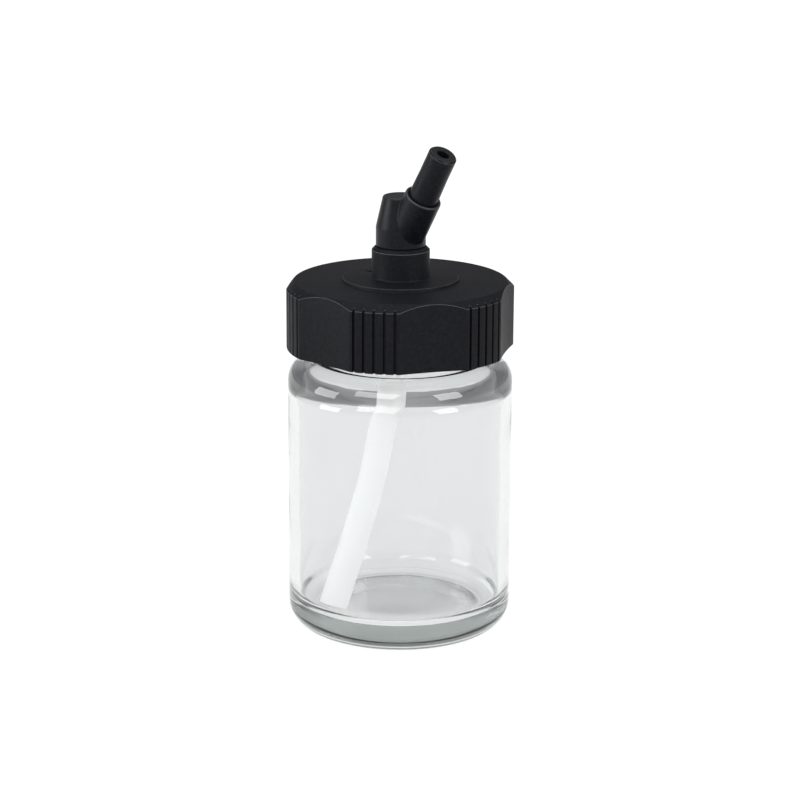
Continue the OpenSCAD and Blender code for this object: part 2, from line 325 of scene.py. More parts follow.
def scaled(shade, factor, lift=0.0):
    """A colour made darker or lighter."""
    return tuple(min(1.0, c * factor + lift) for c in shade)


def new_material(name):
    """An empty material and its shader."""
    material = bpy.data.materials.new(name)
    return material, Shader(material)


# ---------------------------------------------------------------- finishes

CAP_GRAIN = 5200.0
STEM_GRAIN = 6500.0
# Pale grey painted along the marked edges of the black plastic as a highlight.
EDGE_HIGHLIGHT_SHADE = (0.1, 0.101, 0.106)


def moulded_plastic(name, shade, grain, rough, specular):
    """Black moulded plastic: a fine grain, a slight cloudiness and a painted highlight along the
    marked edges, which are also smoother.
    """
    material, s = new_material(name)
    cloud = s.noise(260.0, 3.0, 0.6)
    fine = s.noise(grain, 2.0, 0.7)
    speck = s.noise(1900.0, 3.0, 0.7)
    # Painted highlight: the edge mark, broken up by cloud noise, blends the colour towards pale grey
    # and smooths it.
    edge_highlight = (s.edge() * (0.35 + 1.3 * (cloud - 0.25))).clamped()
    dusty = scaled(shade, 2.6, 0.001)
    base = s.mix((speck * 2.2 - 0.7).clamped(), rgba(shade), rgba(dusty))
    base = s.mix(edge_highlight, base, rgba(EDGE_HIGHLIGHT_SHADE))
    roughness = (rough - 0.08) + 0.12 * cloud + 0.06 * fine - 0.14 * edge_highlight
    surface = s.add("ShaderNodeBsdfPrincipled", {}, {
        "Base Color": base,
        "Roughness": roughness.clamped(),
        "IOR": 1.46,
        "Specular IOR Level": specular,
        "Normal": s.bump(fine * 0.6 + speck * 0.4, 0.5, 0.00002),
    })
    s.finish(surface)
    return material


def clear_glass(settings):
    """Clear moulded glass: a faint film, a tint where it is thick, and a stippled underside."""
    material, s = new_material("Clear Glass")
    ripple = s.noise(120.0, 2.0, 0.5)
    swirl = s.noise(34.0, 1.0, 0.4, stretch=(1, 1, 0.5))
    stipple = s.edge()
    filmed = s.mix(ripple, rgba(settings.film), rgba(scaled(settings.film, 0.97)))
    surface = s.add("ShaderNodeBsdfPrincipled", {}, {
        "Base Color": s.mix(stipple, filmed, (1.0, 1.0, 1.0, 1.0)),
        "Roughness": (stipple * 0.32).clamped(),
        "IOR": 1.51,
        "Transmission Weight": 1.0,
        "Normal": s.bump(ripple * 0.4 + swirl * 0.6, 0.12, 0.0003),
    })
    depth = s.add("ShaderNodeVolumeAbsorption", {}, {
        "Color": rgba(settings.tint),
        "Density": settings.absorption,
    })
    s.finish(surface, depth)
    return material


def milky_plastic(shade):
    """Translucent white tubing, slightly cloudy, with a painted glow from emission and painted shade
    inside its bore.
    """
    material, s = new_material("Milky Tubing")
    cloud = s.noise(380.0, 3.0, 0.6, stretch=(1, 1, 0.25))
    drawn = s.noise(1500.0, 2.0, 0.5, stretch=(1, 1, 0.04))
    bore = s.edge()
    base = s.mix(cloud, rgba(shade), rgba(scaled(shade, 0.97)))
    # Painted shade: the bore's marked points are darkened to 86 per cent of the tube's colour.
    base = s.mix(bore, base, rgba(scaled(shade, 0.86)))
    surface = s.add("ShaderNodeBsdfPrincipled", {}, {
        "Base Color": base,
        "Roughness": (0.26 + 0.14 * cloud).clamped(),
        "IOR": 1.34,
        "Transmission Weight": 0.45,
        # Painted glow: the tube's own colour is emitted to brighten it, though it is no lamp.
        "Emission Color": base,
        "Emission Strength": 0.26,
        "Normal": s.bump(drawn, 0.15, 0.00002),
    })
    s.finish(surface)
    return material


def liner_foam():
    """Off-white closed-cell foam with a pressed skin."""
    material, s = new_material("Liner Foam")
    cells = s.add("ShaderNodeTexVoronoi", {"feature": "F1"}, {
        "Vector": s.add("ShaderNodeTexCoord", out="Object"), "Scale": 3600.0})
    cloud = s.noise(420.0, 3.0, 0.6)
    base = s.mix(cloud, (0.80, 0.78, 0.71, 1.0), (0.88, 0.87, 0.82, 1.0))
    surface = s.add("ShaderNodeBsdfPrincipled", {}, {
        "Base Color": base,
        "Roughness": (0.62 + 0.2 * cloud).clamped(),
        "Specular IOR Level": 0.35,
        "Normal": s.bump(cells, 0.3, 0.00004),
    })
    s.finish(surface)
    return material


def stamped_steel():
    """Thin stamped steel with fine rolling lines and dull patches."""
    material, s = new_material("Stamped Steel")
    rolled = s.noise(5200.0, 2.0, 0.5, stretch=(1, 0.03, 1))
    dull = s.noise(700.0, 3.0, 0.6)
    base = s.mix(dull, (0.60, 0.60, 0.59, 1.0), (0.74, 0.74, 0.73, 1.0))
    surface = s.add("ShaderNodeBsdfPrincipled", {}, {
        "Base Color": base,
        "Metallic": 1.0,
        "Roughness": (0.22 + 0.18 * dull + 0.08 * rolled).clamped(),
        "Normal": s.bump(rolled, 0.2, 0.00001),
    })
    s.finish(surface)
    return material


def floor_paper(shade, glow):
    """Plain pale paper with the faintest mottle, lit from below like a light table."""
    material, s = new_material("Floor Paper")
    mottle = s.noise(9.0, 2.0, 0.5)
    surface = s.add("ShaderNodeBsdfPrincipled", {}, {
        "Base Color": s.mix(mottle, rgba(shade), rgba(scaled(shade, 0.96))),
        "Roughness": 0.9,
        "Specular IOR Level": 0.0,
        "Emission Color": (1.0, 1.0, 1.0, 1.0),
        "Emission Strength": glow,
    })
    s.finish(surface)
    return material


# ---------------------------------------------------------------- outlines

def smooth(t):
    """Eases from 0 to 1 as t goes from 0 to 1."""
    t = min(1.0, max(0.0, t))
    return t * t * (3 - 2 * t)


def lerp(a, b, t):
    """A number between two others."""
    return a + (b - a) * t


FLAT = 1e-4
SIDE_SHARE = 0.98


def half_angle(before, here, after):
    """Half of the angle between the two sides that meet at a corner."""
    a, b = (before - here).normalized(), (after - here).normalized()
    return math.acos(max(-1.0, min(1.0, a.dot(b)))) / 2


def wanted_run(before, here, after, radius):
    """How far a rounding of a radius reaches along each side of a corner."""
    half = half_angle(before, here, after)
    if radius is None or half > math.pi / 2 - FLAT or half < FLAT:
        return 0.0
    return radius / math.tan(half)


def fillet(before, here, after, run, edge, steps):
    """Points that round a corner of an outline, starting a run away from it on both sides.

    Each point holds r, z and how much of an edge it is, which fades to 0 at the rounding's ends.
    """
    if run <= 0:
        return [Vector((here.x, here.y, 0.0)) for _ in range(steps + 1)]
    a, b = (before - here).normalized(), (after - here).normalized()
    radius = run * math.tan(half_angle(before, here, after))
    centre = here + (a + b).normalized() * math.hypot(radius, run)
    first = here + a * run - centre
    swing = (here + b * run - centre).angle_signed(first)
    out = []
    for i in range(steps + 1):
        point = centre + Matrix.Rotation(swing * i / steps, 2) @ first
        out.append(Vector((point.x, point.y, edge * math.sin(math.pi * i / steps))))
    return out


def rounded(corners, steps=4):
    """An outline through corners given as (r, z, radius) or (r, z, radius, edge).

    A radius of None keeps the corner as it is. Edge says how strongly the corner is marked for a
    painted highlight.
    Where two roundings don't fit on the side between them, both shrink.
    """
    places = [Vector((c[0], c[1])) for c in corners]
    count = len(places)
    runs = []
    for i, corner in enumerate(corners):
        runs.append(wanted_run(places[i - 1], places[i], places[(i + 1) % count], corner[2]))
    out = []
    for i, corner in enumerate(corners):
        before, here, after = places[i - 1], places[i], places[(i + 1) % count]
        if corner[2] is None:
            out.append(Vector((here.x, here.y, 0.0)))
            continue
        run = runs[i]
        if run > 0:
            run *= min(
                1.0,
                SIDE_SHARE * (before - here).length / (runs[i - 1] + run),
                SIDE_SHARE * (after - here).length / (runs[(i + 1) % count] + run))
        out += fillet(before, here, after, run, corner[3] if len(corner) > 3 else 0.0, steps)
    return out


def plain_outline(points):
    """An outline of plain corners given as (r, z)."""
    return [Vector((r, z, 0.0)) for r, z in points]


def split_span(outline, index, parts):
    """The outline with the side after a point cut into equal parts."""
    a, b = outline[index], outline[(index + 1) % len(outline)]
    extra = [a.lerp(b, k / parts) for k in range(1, parts)]
    return outline[:index + 1] + extra + outline[index + 1:]


def split_long(outline, longest, loop):
    """The outline with no side longer than a length."""
    out = []
    count = len(outline) if loop else len(outline) - 1
    for i in range(count):
        a, b = outline[i], outline[(i + 1) % len(outline)]
        parts = max(1, math.ceil((b.to_2d() - a.to_2d()).length / longest))
        out += [a.lerp(b, k / parts) for k in range(parts)]
    return out if loop else out + [outline[-1]]


def helix_height(turn, z, start, turns, base, crest, fade):
    """How far a screw ridge stands up, from 0 to 1, at an angle in turns from the ridge's start."""
    best = 0.0
    k = turn % 1.0
    while k <= turns + 1e-9:
        off = abs(z - (start + PITCH * k))
        side = 1.0 - smooth((off - crest / 2) / ((base - crest) / 2))
        ends = smooth(k / fade) * smooth((turns - k) / fade)
        best = max(best, side * ends)
        k += 1.0
    return best


# ---------------------------------------------------------------- meshes

SAME_POINT = 1e-4


def store_edge(mesh, weights):
    """Keeps on each point of a mesh how much of an edge it is."""
    mesh.attributes.new(EDGE, "FLOAT", "POINT").data.foreach_set("value", weights)


def skin(name, columns, loop):
    """A mesh through columns of points that stand round a ring; loop closes each column on itself.

    Each point holds x, y, z and how much of an edge it is, which is kept for the finish.
    """
    rows = len(columns[0])
    points = [point for column in columns for point in column]
    faces = []
    for j in range(len(columns)):
        a, b = j * rows, (j + 1) % len(columns) * rows
        for i in range(rows if loop else rows - 1):
            k = (i + 1) % rows
            faces.append((a + i, b + i, b + k, a + k))
    mesh = bpy.data.meshes.new(name)
    mesh.from_pydata([point.to_3d() for point in points], [], faces)
    store_edge(mesh, [point.w for point in points])
    bm = bmesh.new()
    bm.from_mesh(mesh)
    bmesh.ops.remove_doubles(bm, verts=bm.verts, dist=SAME_POINT)
    bmesh.ops.recalc_face_normals(bm, faces=bm.faces)
    bm.to_mesh(mesh)
    bm.free()
    piece = bpy.data.objects.new(name, mesh)
    bpy.context.scene.collection.objects.link(piece)
    return piece


def ring_point(r, angle, z, edge=0.0):
    """A point of a turned mesh."""
    return Vector((r * math.cos(angle), r * math.sin(angle), z, edge))


def lathe(name, outline, angles, loop, radius_at=None):
    """A mesh turned about Z; radius_at(r, z, angle, row) may move each point in or out."""
    columns = []
    for a in angles:
        column = []
        for row, point in enumerate(outline):
            r = point.x if radius_at is None else radius_at(point.x, point.y, a, row)
            column.append(ring_point(r, a, point.y, point.z))
        columns.append(column)
    return skin(name, columns, loop)


def round_angles(count):
    """Equal steps round a circle."""
    return [2 * math.pi * k / count for k in range(count)]


def on_feed_axis(piece):
    """Moves a piece turned about Z onto the feed socket's axis."""
    turn = FEED_AXIS.to_track_quat("Z", "Y").to_matrix().to_4x4()
    piece.data.transform(Matrix.Translation(FEED_START) @ turn)


def mark_rings(piece, rings, reach):
    """Marks as edge the points near any ring, given as (centre, axis, radius, strength)."""
    mesh = piece.data
    if EDGE in mesh.attributes:
        mesh.attributes.remove(mesh.attributes[EDGE])
    weights = []
    for vertex in mesh.vertices:
        best = 0.0
        for centre, axis, radius, strength in rings:
            off = vertex.co - centre
            along = off.dot(axis)
            across = (off - axis * along).length - radius
            best = max(best, strength * (1 - smooth(math.hypot(along, across) / reach)))
        weights.append(best)
    store_edge(mesh, weights)


def apply_modifiers(piece):
    """Bakes a piece's modifiers into its mesh."""
    graph = bpy.context.evaluated_depsgraph_get()
    mesh = bpy.data.meshes.new_from_object(piece.evaluated_get(graph))
    piece.modifiers.clear()
    old = piece.data
    piece.data = mesh
    bpy.data.meshes.remove(old)


def combine(piece, other, operation):
    """Joins another solid to a piece, or cuts it away, and removes the other solid."""
    cut = piece.modifiers.new("combine", "BOOLEAN")
    cut.operation = operation
    cut.solver = "EXACT"
    cut.object = other
    apply_modifiers(piece)
    bpy.data.objects.remove(other)


def hand_over(piece, material, body, node, sharp=None):
    """Scales a piece to metres, gives it its finish and its body, and hides the node it stands for.
    """
    piece.data.transform(Matrix.Scale(MM, 4))
    for face in piece.data.polygons:
        face.use_smooth = True
    if sharp is not None:
        piece.data.set_sharp_from_angle(angle=math.radians(sharp))
    piece.data.materials.clear()
    piece.data.materials.append(material)
    piece.data.update()
    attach(piece, body)
    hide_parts(node)


# ---------------------------------------------------------------- the jar

JAR_COLUMNS = 288
JAR_LONGEST_SIDE = 0.45
BEARING_OUTER, BEARING_INNER = 12.3, 7.5
FLOOR_DOME, FLOOR_DOME_RADIUS = 0.25, 6.0
NECK_THREAD = {"turns": 1.1, "base": 2.2, "crest": 0.9, "below_lip": 2.1}
CAP_THREAD = {"turns": 1.0, "base": 2.0, "crest": 0.8, "start": 0.38, "below_neck_thread": 1.5}
THREAD_FADE = 0.1


def neck_thread_start(jar):
    """Height of the middle of the neck's thread where it starts, on +X."""
    return jar.lip / MM - NECK_THREAD["below_lip"] - PITCH * NECK_THREAD["turns"]


def jar_outline(jar):
    """Half of the glass's section: under the base, up the outside, over the lip, down the inside.

    The points of the underside are marked, because its glass is stippled.
    """
    r, inner = jar.radius / MM, (jar.radius - jar.wall) / MM
    lip, bore, neck = jar.lip / MM, jar.bore / MM, jar.neck / MM
    shoulder, floor, punt = jar.shoulder / MM, jar.floor / MM, jar.punt / MM
    under = (jar.shoulder - jar.shoulder_glass) / MM
    corners = [
        (0.0, punt, None),
        (BEARING_INNER, punt, 20.0),
        (BEARING_OUTER, 0.0, 3.0),
        (r, 0.0, jar.heel / MM),
        (r, shoulder, jar.shoulder_radius / MM),
        (neck, shoulder, 0.8),
        (neck, lip, 0.7),
        (bore, lip, 0.8),
        (bore, under, 0.9),
        (inner, under, 3.95),
        (inner, floor, jar.floor_corner / MM),
        (FLOOR_DOME_RADIUS, floor + FLOOR_DOME, 200.0),
        (0.0, floor + FLOOR_DOME, None),
    ]
    outline = split_long(rounded(corners, steps=9), JAR_LONGEST_SIDE, loop=False)
    heel = next(i for i, p in enumerate(outline) if p.x > r - jar.heel / MM)
    for point in outline[:heel]:
        point.z = 1.0
    return outline


def glass_ripple(a, z):
    """The moulding's long, slow ripple at a place on the inside of the glass."""
    place = Vector((math.cos(a) * 1.7, math.sin(a) * 1.7, z / 9.0))
    return noise.noise(place) + 0.4 * noise.noise(place * 2.3)


class PAINTJAR_OT_glass(Operator):
    """Build the glass jar with its screw neck, thick base and moulding ripple"""

    bl_idname = "paintjar.glass"
    bl_label = "Glass Jar"

    def execute(self, context):
        jar = context.scene.paint_jar
        neck, lip = jar.neck / MM, jar.lip / MM
        shoulder, ripple = jar.shoulder / MM, jar.ripple / MM
        inner = (jar.radius - jar.wall) / MM
        rise = jar.thread / MM - neck
        start = neck_thread_start(jar)
        outline = jar_outline(jar)
        inside_from = max(i for i, p in enumerate(outline) if p.y > lip - SAME_POINT)

        def radius_at(r, z, a, row):
            if r < SAME_POINT:
                return 0.0
            if row > inside_from:
                calm = 1.0 - 0.5 * smooth((z - shoulder + 9.0) / 5.0)
                return r + ripple * glass_ripple(a, z) * calm * smooth(r / inner)
            if abs(r - neck) < SAME_POINT and z > shoulder + 0.4:
                ridge = helix_height(
                    a / (2 * math.pi), z, start, NECK_THREAD["turns"],
                    NECK_THREAD["base"], NECK_THREAD["crest"], THREAD_FADE)
                return r + rise * ridge
            return r

        piece = lathe("jar_glass", outline, round_angles(JAR_COLUMNS), False, radius_at)
        hand_over(piece, clear_glass(jar), "jar", "glass_jar")
        return {"FINISHED"}


# ---------------------------------------------------------------- the lid

GROOVE_STATIONS = (-1.30, -1.02, -0.86, -0.70, 0.0, 0.70, 0.86, 1.02, 1.30)
GROOVE_FLOOR, GROOVE_SLOPE = 0.68, 0.36
HOLLOW_EDGE_STEPS = (-0.008, -0.003, 0.003, 0.008)
HOLLOW_EDGE_ROOM = 0.012
HOLLOW_COLUMNS = 26
SOFT_CORNER = 0.03
CORNERS_BEFORE_BORE = 12
BORE_ROWS = 64


def cap_angles(cap):
    """Angles of the cap's columns: close together at each groove's edges, wider in the hollows."""
    middle_groove = (cap.grooves - 1) / 2
    half_groove = cap.groove_width / 2 / cap.radius
    sector = 2 * math.pi / cap.groups
    half_group = (sector - cap.hollow_span) / 2
    out = []
    for group in range(cap.groups):
        centre = cap.group_turn + group * sector
        for g in range(cap.grooves):
            at = centre + (g - middle_groove) * cap.groove_step
            out += [at + s * half_groove for s in GROOVE_STATIONS]
            out.append(at + cap.groove_step / 2)
        edge = centre + half_group
        out = [a for a in out if a < edge - HOLLOW_EDGE_ROOM or a > edge + HOLLOW_EDGE_ROOM]
        out += [edge + step for step in HOLLOW_EDGE_STEPS]
        for k in range(1, HOLLOW_COLUMNS):
            out.append(edge + cap.hollow_span * k / HOLLOW_COLUMNS)
        out += [edge + cap.hollow_span + step for step in HOLLOW_EDGE_STEPS]
    return sorted(out)


def cap_side_radius(cap, a):
    """Radius of the cap's side at an angle, with its hollows and grooves, in millimetres."""
    r, depth = cap.radius / MM, cap.hollow / MM
    sector = 2 * math.pi / cap.groups
    half_chord = r * math.sin(cap.hollow_span / 2)
    sagitta = r * math.cos(cap.hollow_span / 2) - (r - depth)
    cut_r = (half_chord ** 2 + sagitta ** 2) / (2 * sagitta)
    cut_at = r - depth + cut_r
    from_group = (a - cap.group_turn + sector / 2) % sector - sector / 2
    from_hollow = abs(from_group) - sector / 2
    reach = cut_at * math.sin(from_hollow)
    hollow = cut_at * math.cos(from_hollow) - math.sqrt(cut_r ** 2 - reach ** 2)
    low, high = min(r, hollow), max(r, hollow)
    side = low - SOFT_CORNER * math.log(1 + math.exp(-(high - low) / SOFT_CORNER))
    middle_groove = (cap.grooves - 1) / 2
    g = round(from_group / cap.groove_step + middle_groove)
    if 0 <= g < cap.grooves:
        off = abs(from_group - (g - middle_groove) * cap.groove_step)
        across = off / (cap.groove_width / 2 / cap.radius)
        side -= cap.groove_depth / MM * (1 - smooth((across - GROOVE_FLOOR) / GROOVE_SLOPE))
    return side


def cap_corners(cap, side):
    """The cap's section at one angle, as a closed loop of rounded corners."""
    r, top, bevel = cap.radius / MM, cap.top / MM, cap.bevel / MM
    disc, collar, ceiling = cap.disc / MM, cap.collar / MM, cap.ceiling / MM
    spigot, collar_r, disc_r = cap.spigot_bore / MM, cap.collar_radius / MM, cap.disc_radius / MM
    chamfer, bore, low = cap.collar_chamfer / MM, cap.bore / MM, cap.low / MM
    slope_end = top - (side - (r - bevel))
    # A fourth value marks a corner for a painted highlight: the collar's chamfer, the disc's rim and
    # the foot of the top bevel.
    return [
        (spigot, ceiling, 0.12),
        (spigot, collar, 0.08),
        (collar_r - chamfer, collar, 0.12),
        (collar_r, collar - chamfer, 0.14, 1.0),
        (collar_r, disc, 0.3),
        (disc_r, disc, 0.14, 0.35),
        (disc_r + 0.06, top, 0.14),
        (r - bevel, top, 0.45),
        (side, slope_end, 0.13, 1.0),
        (side, low, 0.22),
        (bore + 0.4, low, 0.12),
        (bore, low + 0.4, 0.12),
        (bore, ceiling, 0.6),
        (9.0, ceiling, None),
    ]


class PAINTJAR_OT_cap(Operator):
    """Build the ribbed screw cap with its disc, collar, vent and inside thread"""

    bl_idname = "paintjar.cap"
    bl_label = "Screw Cap"

    def execute(self, context):
        cap = context.scene.paint_jar_cap
        jar = context.scene.paint_jar
        steps = 4
        bore, rise = cap.bore / MM, (cap.bore - cap.thread) / MM
        ceiling, low = cap.ceiling / MM, cap.low / MM
        start = neck_thread_start(jar) - CAP_THREAD["below_neck_thread"]
        start += PITCH * CAP_THREAD["start"]
        bore_low = CORNERS_BEFORE_BORE * (steps + 1) - 1
        columns = []
        for a in cap_angles(cap):
            outline = rounded(cap_corners(cap, cap_side_radius(cap, a)), steps)
            outline = split_span(outline, bore_low, BORE_ROWS)
            column = []
            for p in outline:
                r = p.x
                if abs(r - bore) < SAME_POINT and low + 0.5 < p.y < ceiling - 0.7:
                    turn = a / (2 * math.pi) - CAP_THREAD["start"]
                    r -= rise * helix_height(
                        turn, p.y, start, CAP_THREAD["turns"],
                        CAP_THREAD["base"], CAP_THREAD["crest"], THREAD_FADE)
                column.append(ring_point(r, a, p.y, p.z))
            columns.append(column)
        piece = skin("cap_shell", columns, True)
        vent_r, disc = cap.vent_radius / MM, cap.disc / MM
        drill = lathe("vent_drill", plain_outline([
            (0, ceiling - 1), (vent_r, ceiling - 1), (vent_r, disc - 0.12),
            (vent_r + 0.12, disc), (vent_r + 0.6, disc + 0.48), (0, disc + 0.48),
        ]), round_angles(32), False)
        at = cap.vent_place / MM
        drill.data.transform(Matrix.Translation(
            (at * math.cos(cap.vent_turn), at * math.sin(cap.vent_turn), 0)))
        combine(piece, drill, "DIFFERENCE")
        plastic = moulded_plastic("Cap Plastic", cap.shade, CAP_GRAIN, rough=0.50, specular=0.10)
        hand_over(piece, plastic, "cap", "screw_cap", sharp=40)
        return {"FINISHED"}


class PAINTJAR_OT_liner(Operator):
    """Build the foam ring that seals the cap on the lip, with the lip's print in it"""

    bl_idname = "paintjar.liner"
    bl_label = "Lid Liner"

    def execute(self, context):
        jar = context.scene.paint_jar
        outer, low, high = LINER_HIGH.x, LINER_LOW.z, LINER_HIGH.z
        hole = jar.bore / MM - 1.1
        lip_in, lip_out = jar.bore / MM + 0.2, jar.neck / MM - 0.2
        corners = [
            (hole, low, 0.15), (lip_in - 0.25, low, 0.1), (lip_in, low + 0.08, 0.1),
            (lip_out, low + 0.08, 0.1), (lip_out + 0.25, low, 0.1), (outer, low, 0.18),
            (outer, high, 0.18), (hole, high, 0.15),
        ]
        piece = lathe("lid_liner_ring", rounded(corners, 3), round_angles(144), True)
        hand_over(piece, liner_foam(), "liner", "lid_liner", sharp=50)
        return {"FINISHED"}


# ---------------------------------------------------------------- the feed stem

POST_GAP = 0.1
EDGE_REACH = 0.28


def post_outline(stem, ring_low, ring_high):
    """Half of the stem's upright part, from the nipple's end to the post's flat top."""
    spigot, nipple = stem.spigot / MM, stem.nipple / MM
    post, seat = stem.post_radius / MM, CAP_HIGH.z + POST_GAP
    top, top_r = stem.post_top / MM, stem.post_top_radius / MM
    end, tip = stem.spigot_end / MM, stem.nipple_end / MM
    return rounded([
        (0.0, tip, None), (nipple - 0.15, tip, 0.1), (nipple + 0.08, tip + 1.3, 0.05),
        (nipple, tip + 1.35, 0.05), (nipple, end, 0.15), (spigot - 0.3, end, 0.15),
        (spigot - 0.05, end + 0.4, 0.1), (spigot - 0.05, ring_low, 0.05),
        (spigot - 0.4, ring_low, 0.05), (spigot - 0.4, ring_high, 0.05),
        (spigot, ring_high, 0.05), (spigot, seat, 0.05),
        (post, seat, 0.16), (post, stem.post_break / MM, 1.2), (top_r, top, 0.34), (0.0, top, None),
    ], 4)


class PAINTJAR_OT_elbow(Operator):
    """Build the feed elbow: post, angled socket, spigot and nipple, blended like one moulding"""

    bl_idname = "paintjar.elbow"
    bl_label = "Feed Elbow"

    def execute(self, context):
        stem = context.scene.paint_jar_stem
        socket, rim = stem.socket_radius / MM, stem.socket_length / MM
        floor, root, start = stem.socket_floor / MM, stem.tip_root / MM, stem.socket_root / MM
        turns = round_angles(96)
        post = post_outline(stem, RING_LOW.z, RING_HIGH.z + 0.05)
        piece = lathe("feed_elbow_body", post, turns, False)
        outer = lathe("socket_blank", rounded([
            (0.0, start, None), (socket, start, 0.1), (socket, rim, 0.2), (0.0, rim, None),
        ], 4), turns, False)
        on_feed_axis(outer)
        combine(piece, outer, "UNION")
        mouth = lathe("socket_mouth", rounded([
            (0.0, floor, None), (root + 0.01, floor, 0.1), (root + 0.01, rim - 0.25, 0.1),
            (root + 0.12, rim + 0.1, None), (0.0, rim + 0.4, None)], 3), turns, False)
        on_feed_axis(mouth)
        combine(piece, mouth, "DIFFERENCE")
        feed = lathe("feed_drill", plain_outline([
            (0, 0), (FEED_BORE, 0), (FEED_BORE, floor + 1), (0, floor + 1),
        ]), round_angles(40), False)
        on_feed_axis(feed)
        combine(piece, feed, "DIFFERENCE")
        riser, tip = FEED_BORE + 0.1, stem.nipple_end / MM
        riser_top = FEED_START.z + 0.8
        rise = lathe("riser_drill", plain_outline([
            (0, tip - 1), (riser, tip - 1), (riser, riser_top), (0, riser_top),
        ]), round_angles(40), False)
        combine(piece, rise, "DIFFERENCE")
        grain = piece.modifiers.new("grain", "REMESH")
        grain.mode = "VOXEL"
        grain.voxel_size = stem.voxel / MM
        ease = piece.modifiers.new("ease", "SMOOTH")
        ease.factor = 0.5
        ease.iterations = 4
        apply_modifiers(piece)
        # Painted highlight: marks the socket's rim, the post's top and the post's foot, which the
        # finish lightens.
        mark_rings(piece, [
            (FEED_START + FEED_AXIS * rim, FEED_AXIS, socket, 1.0),
            (UP * stem.post_top / MM, UP, stem.post_top_radius / MM, 0.5),
            (UP * (CAP_HIGH.z + POST_GAP), UP, stem.post_radius / MM, 0.3),
        ], EDGE_REACH)
        plastic = moulded_plastic("Stem Plastic", stem.shade, STEM_GRAIN, rough=0.36, specular=0.14)
        hand_over(piece, plastic, "stem", "feed_elbow")
        return {"FINISHED"}


class PAINTJAR_OT_tip(Operator):
    """Build the tapered tip that plugs into the gun"""

    bl_idname = "paintjar.tip"
    bl_label = "Feed Tip"

    def execute(self, context):
        stem = context.scene.paint_jar_stem
        end = TIP_MIDDLE + TIP_LAND / 2 + 0.3
        root, floor, rim = stem.tip_root / MM, stem.socket_floor / MM, stem.socket_length / MM
        # The fourth values mark the edges of the tip's end for a painted highlight.
        corners = [
            (FEED_BORE, floor, 0.1), (root, floor, 0.15), (root, rim, None),
            (TIP_RADIUS, TIP_MIDDLE - TIP_LAND / 2, None), (TIP_RADIUS, end - 0.26, 0.12, 0.8),
            (TIP_RADIUS - 0.26, end, 0.12, 0.4), (FEED_BORE + 0.12, end, 0.06),
            (FEED_BORE, end - 0.14, 0.06),
        ]
        outline = split_long(rounded(corners, 3), 1.0, loop=True)
        piece = lathe("feed_tip_plug", outline, round_angles(96), True)
        on_feed_axis(piece)
        plastic = moulded_plastic("Tip Plastic", stem.shade, STEM_GRAIN, rough=0.38, specular=0.12)
        hand_over(piece, plastic, "stem", "feed_tip", sharp=40)
        return {"FINISHED"}


class PAINTJAR_OT_ring(Operator):
    """Build the stamped ring that holds the elbow under the cap"""

    bl_idname = "paintjar.ring"
    bl_label = "Retaining Ring"

    def execute(self, context):
        stem = context.scene.paint_jar_stem
        hole = stem.spigot / MM - 0.38
        outer, low, high = RING_HIGH.x, RING_LOW.z, RING_HIGH.z
        corners = [(hole, low, 0.05), (outer, low, 0.16), (outer, high, 0.08), (hole, high, 0.05)]
        outline = split_long(rounded(corners, 4), 0.8, loop=True)
        piece = lathe("retaining_ring_stamping", outline, round_angles(96), True)
        hand_over(piece, stamped_steel(), "stem", "retaining_ring", sharp=40)
        return {"FINISHED"}


# ---------------------------------------------------------------- the dip tube

def tube_bend(start, radius, lean_from, lean_to, steps):
    """Stations of a bend as (x, z, lean), without its first one."""
    out = []
    for k in range(1, steps + 1):
        a = lerp(lean_from, lean_to, k / steps)
        x = start[0] + radius * (math.cos(lean_from) - math.cos(a))
        z = start[1] + radius * (math.sin(lean_from) - math.sin(a))
        out.append((x, z, a))
    return out


def tube_run(start, end, lean, steps):
    """Stations of a straight run as (x, z, lean), without its first one."""
    return [(lerp(start[0], end[0], k / steps), lerp(start[1], end[1], k / steps), lean)
            for k in range(1, steps + 1)]


def tube_stations(tube):
    """Stations down the tube's centreline as (x, z, lean), before it is turned to its direction."""
    upper, lower = tube.lean_top, tube.lean
    knee, sag, end = tube.knee / MM, tube.sag / MM, tube.end / MM
    bend, sag_bend = tube.bend / MM, tube.sag_bend / MM
    sag_x = (knee - sag) * math.tan(upper)
    sag_run = sag_bend * math.tan((lower - upper) / 2)
    sag_start = (sag_x - sag_run * math.sin(upper), sag + sag_run * math.cos(upper))
    out = [(0.0, tube.top / MM, 0.0)]
    out += tube_run(out[-1], (0.0, knee + bend * math.tan(upper / 2)), 0.0, 6)
    out += tube_bend(out[-1], bend, 0.0, upper, 12)
    out += tube_run(out[-1], sag_start, upper, 14)
    out += tube_bend(out[-1], sag_bend, upper, lower, 10)
    out += tube_run(out[-1], (sag_x + (sag - end) * math.tan(lower), end), lower, 14)
    return out


TUBE_CUT = 0.09
WANDER, WANDER_RATE = 0.03, 0.45
OVAL, OVAL_RATE = 0.004, 0.21


def tube_skin(stations, radius, turn, cut):
    """One column of points down the tube, whose two ends are rounded by the cut.

    A negative cut opens the ends instead, which the bore needs, and marks the points, which the
    finish darkens as painted shade.
    """
    out = []
    last = len(stations) - 1
    for i, (x, z, lean) in enumerate(stations):
        across = Vector((math.cos(lean), 0, math.sin(lean)))
        down = Vector((math.sin(lean), 0, -math.cos(lean)))
        side = WANDER * math.sin(z * WANDER_RATE + 1.3) * smooth(i / 6)
        centre = Vector((x, side, z))
        r = radius * (1 + OVAL * math.sin(2 * turn + z * OVAL_RATE))
        steps = [(0.0, r)]
        if i == 0:
            steps = [(0.0, r - cut), (0.3 * abs(cut), r - 0.3 * cut), (abs(cut), r)]
        elif i == last:
            steps = [(-abs(cut), r), (-0.3 * abs(cut), r - 0.3 * cut), (0.0, r - cut)]
        for along, reach in steps:
            point = centre + down * along + across * (reach * math.cos(turn))
            point.y += reach * math.sin(turn)
            out.append(Vector((*point, 0.0 if cut > 0 else 1.0)))
    return out


